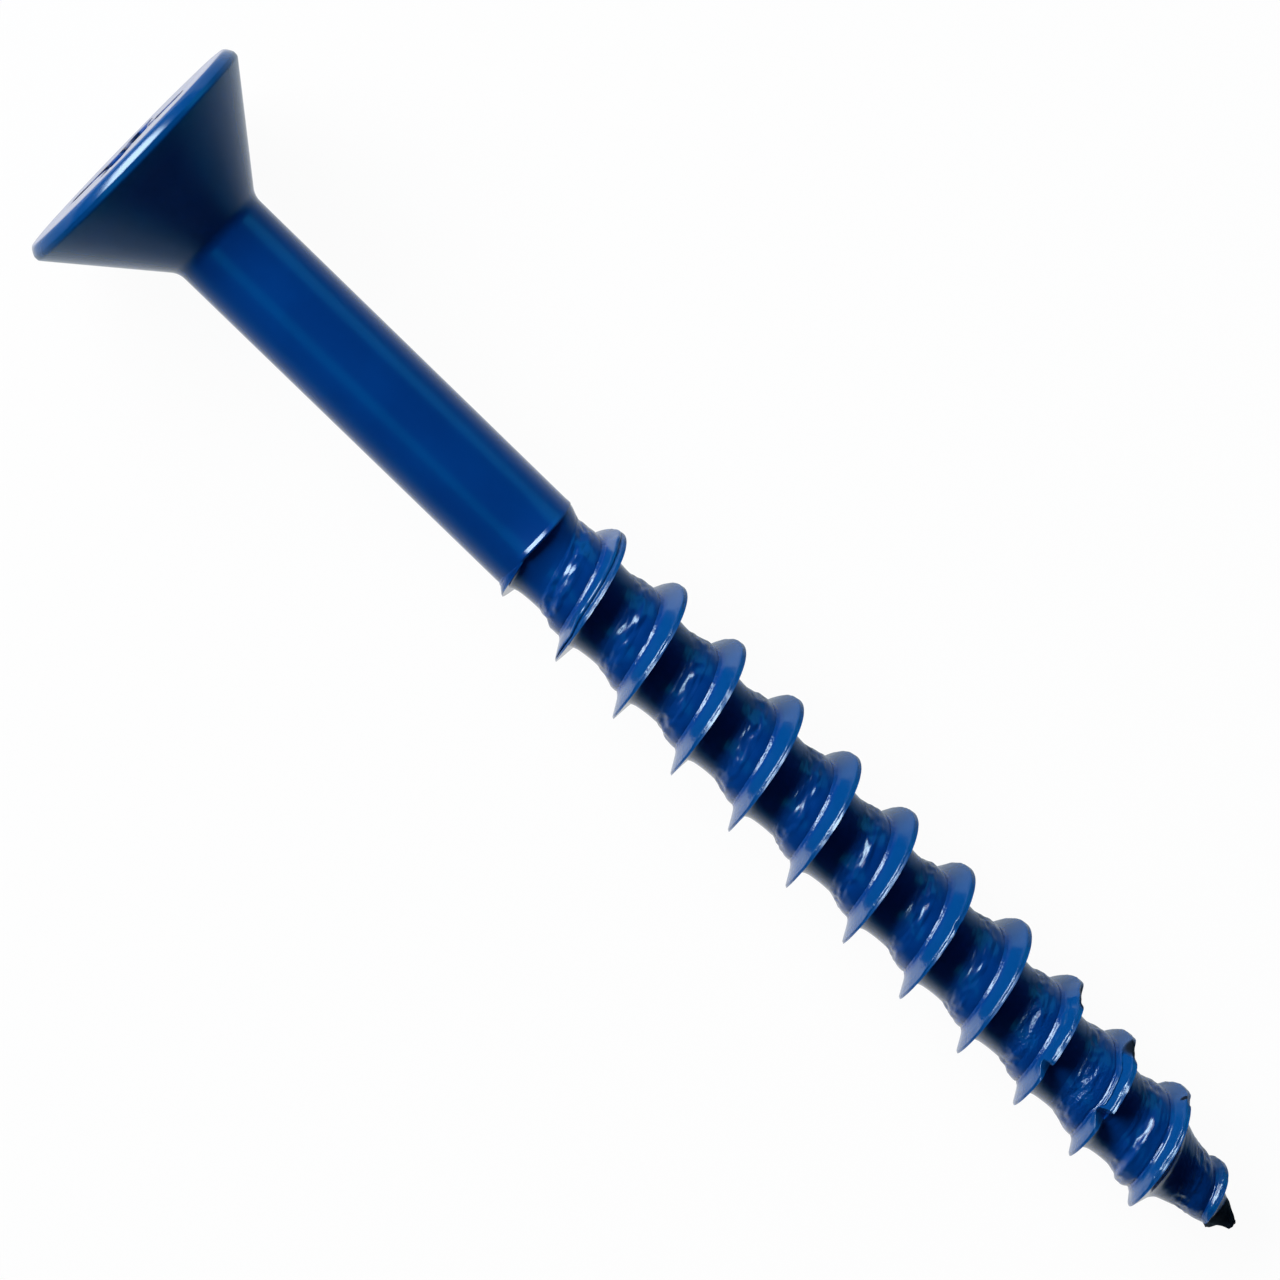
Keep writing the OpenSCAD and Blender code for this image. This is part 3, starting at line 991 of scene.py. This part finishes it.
def lay_floor(scene, look):
    """A wide pale floor that shows white to the camera and keeps the screw's soft shadow; in reflections it
    shows a painted pool of light beside the screw and before the head, and a painted dark blue far away.
    """
    bm = bmesh.new()
    bmesh.ops.create_grid(bm, x_segments=1, y_segments=1, size=FLOOR_HALF)
    mesh = bpy.data.meshes.new("floor")
    bm.to_mesh(mesh)
    bm.free()
    floor = bpy.data.objects.new("floor", mesh)
    scene.collection.objects.link(floor)
    material = bpy.data.materials.new("pale_floor")
    nodes = Nodes(material)
    camera = nodes.node("ShaderNodeLightPath", output="Is Camera Ray")
    glossy = nodes.node("ShaderNodeLightPath", output="Is Glossy Ray")
    clear = nodes.node("ShaderNodeLightPath", output="Is Transmission Ray")
    place = nodes.node("ShaderNodeTexCoord", output="Object")
    along = nodes.node("ShaderNodeSeparateXYZ", None, {"Vector": place}, output="X")
    across = nodes.node("ShaderNodeSeparateXYZ", None, {"Vector": place}, output="Y")
    # Painted reflection: to reflections only, the floor shows a pool of painted light along the screw, a
    # painted white patch before the head and a painted dark blue farther off.
    beyond = nodes.step(along * -1.0, 0.035, 0.2)
    shifted = across + nodes.step(along, -0.012, 0.0) * look.pool_shift
    away = shifted / (beyond * look.pool_spread + look.pool_w)
    pool = (beyond * (1 - look.pool_light) + look.pool_light) / (away * away + 1.0)
    front = nodes.step(along * -1.0, *FRONT_START) * nodes.step(along * -1.0, *FRONT_END)
    front = front * nodes.step(across * across, *FRONT_SIDE)
    pool = pool + front * (1.0 - pool)
    seen = (camera + clear) * look.floor_white + glossy * look.pool_white
    matt = nodes.node("ShaderNodeBsdfDiffuse", None, {"Color": opaque(look.floor_colour)})
    white = nodes.node("ShaderNodeEmission", None, {"Color": (1, 1, 1, 1), "Strength": 1.0})
    painted_far_reflection = nodes.node("ShaderNodeEmission", None, {"Color": opaque(look.far_colour), "Strength": 1.0})
    near = nodes.node("ShaderNodeMixShader", None, {0: seen, 1: matt, 2: white})
    mixed = nodes.node("ShaderNodeMixShader", None, {0: glossy * (1.0 - pool), 1: near, 2: painted_far_reflection})
    nodes.node("ShaderNodeOutputMaterial", None, {"Surface": mixed})
    mesh.materials.append(material)


def add_area(scene, name, place, target, size, glow, shade):
    """A lamp that faces a target and runs out softly towards its edges."""
    lamp = bpy.data.lights.new(name, "AREA")
    lamp.shape = "RECTANGLE"
    lamp.size, lamp.size_y = size
    lamp.energy = glow * math.pi * size[0] * size[1]
    nodes = Nodes(lamp)
    across = nodes.node("ShaderNodeNewGeometry", output="Parametric")
    centred = nodes.vector("MULTIPLY_ADD", across, (2, 2, 0), (-1, -1, 0))
    off = nodes.vector("LENGTH", centred, output="Value")
    fade = nodes.mix(nodes.step(off, *LAMP_FADE), opaque(shade), (0, 0, 0, 1))
    beam = nodes.node("ShaderNodeEmission", None, {"Color": fade, "Strength": 1.0})
    nodes.node("ShaderNodeOutputLight", None, {"Surface": beam})
    lamp_object = bpy.data.objects.new(name, lamp)
    lamp_object.location = place
    lamp_object.rotation_euler = (target - place).to_track_quat("-Z", "Y").to_euler()
    scene.collection.objects.link(lamp_object)


def set_lights(scene):
    """A strip lamp low beyond the head, two faint wide ones to the sides and a dim room."""
    middle = Vector((0, 0, 0.004))
    for name, side, rise, size, glow, shade in LAMPS:
        turn = math.radians(side)
        lift = math.radians(rise)
        away = Vector((-math.cos(turn) * math.cos(lift), math.sin(turn) * math.cos(lift), math.sin(lift)))
        add_area(scene, name, middle + away * LAMP_DISTANCE, middle, size, glow, shade)
    world = bpy.data.worlds.new("dim_room")
    scene.world = world
    world.use_nodes = True
    world.node_tree.nodes["Background"].inputs["Color"].default_value = ROOM_COLOUR


def set_camera(scene, look):
    """A long lens above the screw, leaning towards its head, with the axis across the picture."""
    tilt = look.view_tilt
    roll = look.view_roll
    along = AXIS * math.cos(tilt) + NEAR * math.sin(tilt)
    down_side = -SIDE
    forward = AXIS * math.sin(tilt) - NEAR * math.cos(tilt)
    right = along * math.cos(roll) - down_side * math.sin(roll)
    up = -(along * math.sin(roll) + down_side * math.cos(roll))
    centre = HEAD_TOP + AXIS * look.view_depth - down_side * look.view_shift
    camera = bpy.data.cameras.new("camera")
    camera.sensor_width = 36.0
    camera.lens = camera.sensor_width * look.view_focal / PICTURE_W
    camera.clip_start = 0.01
    camera_object = bpy.data.objects.new("camera", camera)
    turn = Matrix((right, up, -forward)).transposed().to_4x4()
    turn.translation = centre - forward * look.view_distance
    camera_object.matrix_world = turn
    scene.collection.objects.link(camera_object)
    scene.camera = camera_object


class ScrewPanel(bpy.types.Panel):
    """Lists the steps that build the screw"""

    bl_idname = "VIEW3D_PT_concrete_screw"
    bl_label = "Concrete screw"
    bl_space_type = "VIEW_3D"
    bl_region_type = "UI"
    bl_category = "Screw"

    def draw(self, context):
        for operator in OPERATORS:
            self.layout.operator(operator.bl_idname)
        for group in GROUPS:
            settings = getattr(context.scene, group)
            for name in settings.bl_rna.properties.keys():
                if name not in ("rna_type", "name"):
                    self.layout.prop(settings, name)


GROUPS = {
    "screw_sizes": ScrewSizes,
    "screw_wear": ScrewWear,
    "coating_look": CoatingLook,
    "stage_look": StageLook,
}
OPERATORS = (ScrewPiece, ScrewStage)
CLASSES = (*GROUPS.values(), *OPERATORS, ScrewPanel)


def register():
    for item in CLASSES:
        bpy.utils.register_class(item)
    for name, group in GROUPS.items():
        setattr(bpy.types.Scene, name, bpy.props.PointerProperty(type=group))


def unregister():
    for name in GROUPS:
        delattr(bpy.types.Scene, name)
    for item in reversed(CLASSES):
        bpy.utils.unregister_class(item)


def main():
    register()
    bpy.ops.mesh.concrete_screw_add()
    bpy.ops.scene.concrete_screw_stage()


if __name__ == "__main__":
    main()
